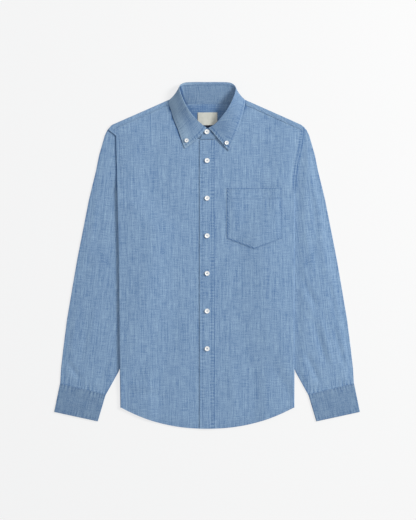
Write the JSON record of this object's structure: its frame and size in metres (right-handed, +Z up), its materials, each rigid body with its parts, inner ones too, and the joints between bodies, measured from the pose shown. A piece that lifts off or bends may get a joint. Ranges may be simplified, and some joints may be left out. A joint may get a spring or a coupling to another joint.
{
  "type": "chambray shirt",
  "caption": "Long-sleeved chambray shirt with a button-down collar and a chest pocket, buttoned and laid flat with its sides turned under.",
  "frame": {"origin": "on the surface the shirt lies on, under the middle of its bounding box", "axes": "+Z up, away from the surface; +Y towards the collar; +X towards the wearer's left"},
  "size_m": [0.718, 0.815, 0.0254],
  "materials": {
    "chambray": "plain-woven blue and white cotton, soft and matte",
    "label_cloth": "plain cream woven tape, matte",
    "button_shell": "off-white, satin, with a raised rim"
  },
  "bodies": {
    "root": {"back": "chambray", "yoke": "chambray", "front_right": "chambray", "front_left": "chambray", "placket": "chambray", "pocket": "chambray", "sleeve_right": "chambray", "sleeve_left": "chambray", "cuff_right": "chambray", "cuff_left": "chambray", "collar_stand": "chambray", "collar_leaf": "chambray", "neck_label": "label_cloth", "button_neck": "button_shell", "button_1": "button_shell", "button_2": "button_shell", "button_3": "button_shell", "button_4": "button_shell", "button_5": "button_shell", "button_6": "button_shell", "button_collar_right": "button_shell", "button_collar_left": "button_shell"}
  },
  "joints": []
}
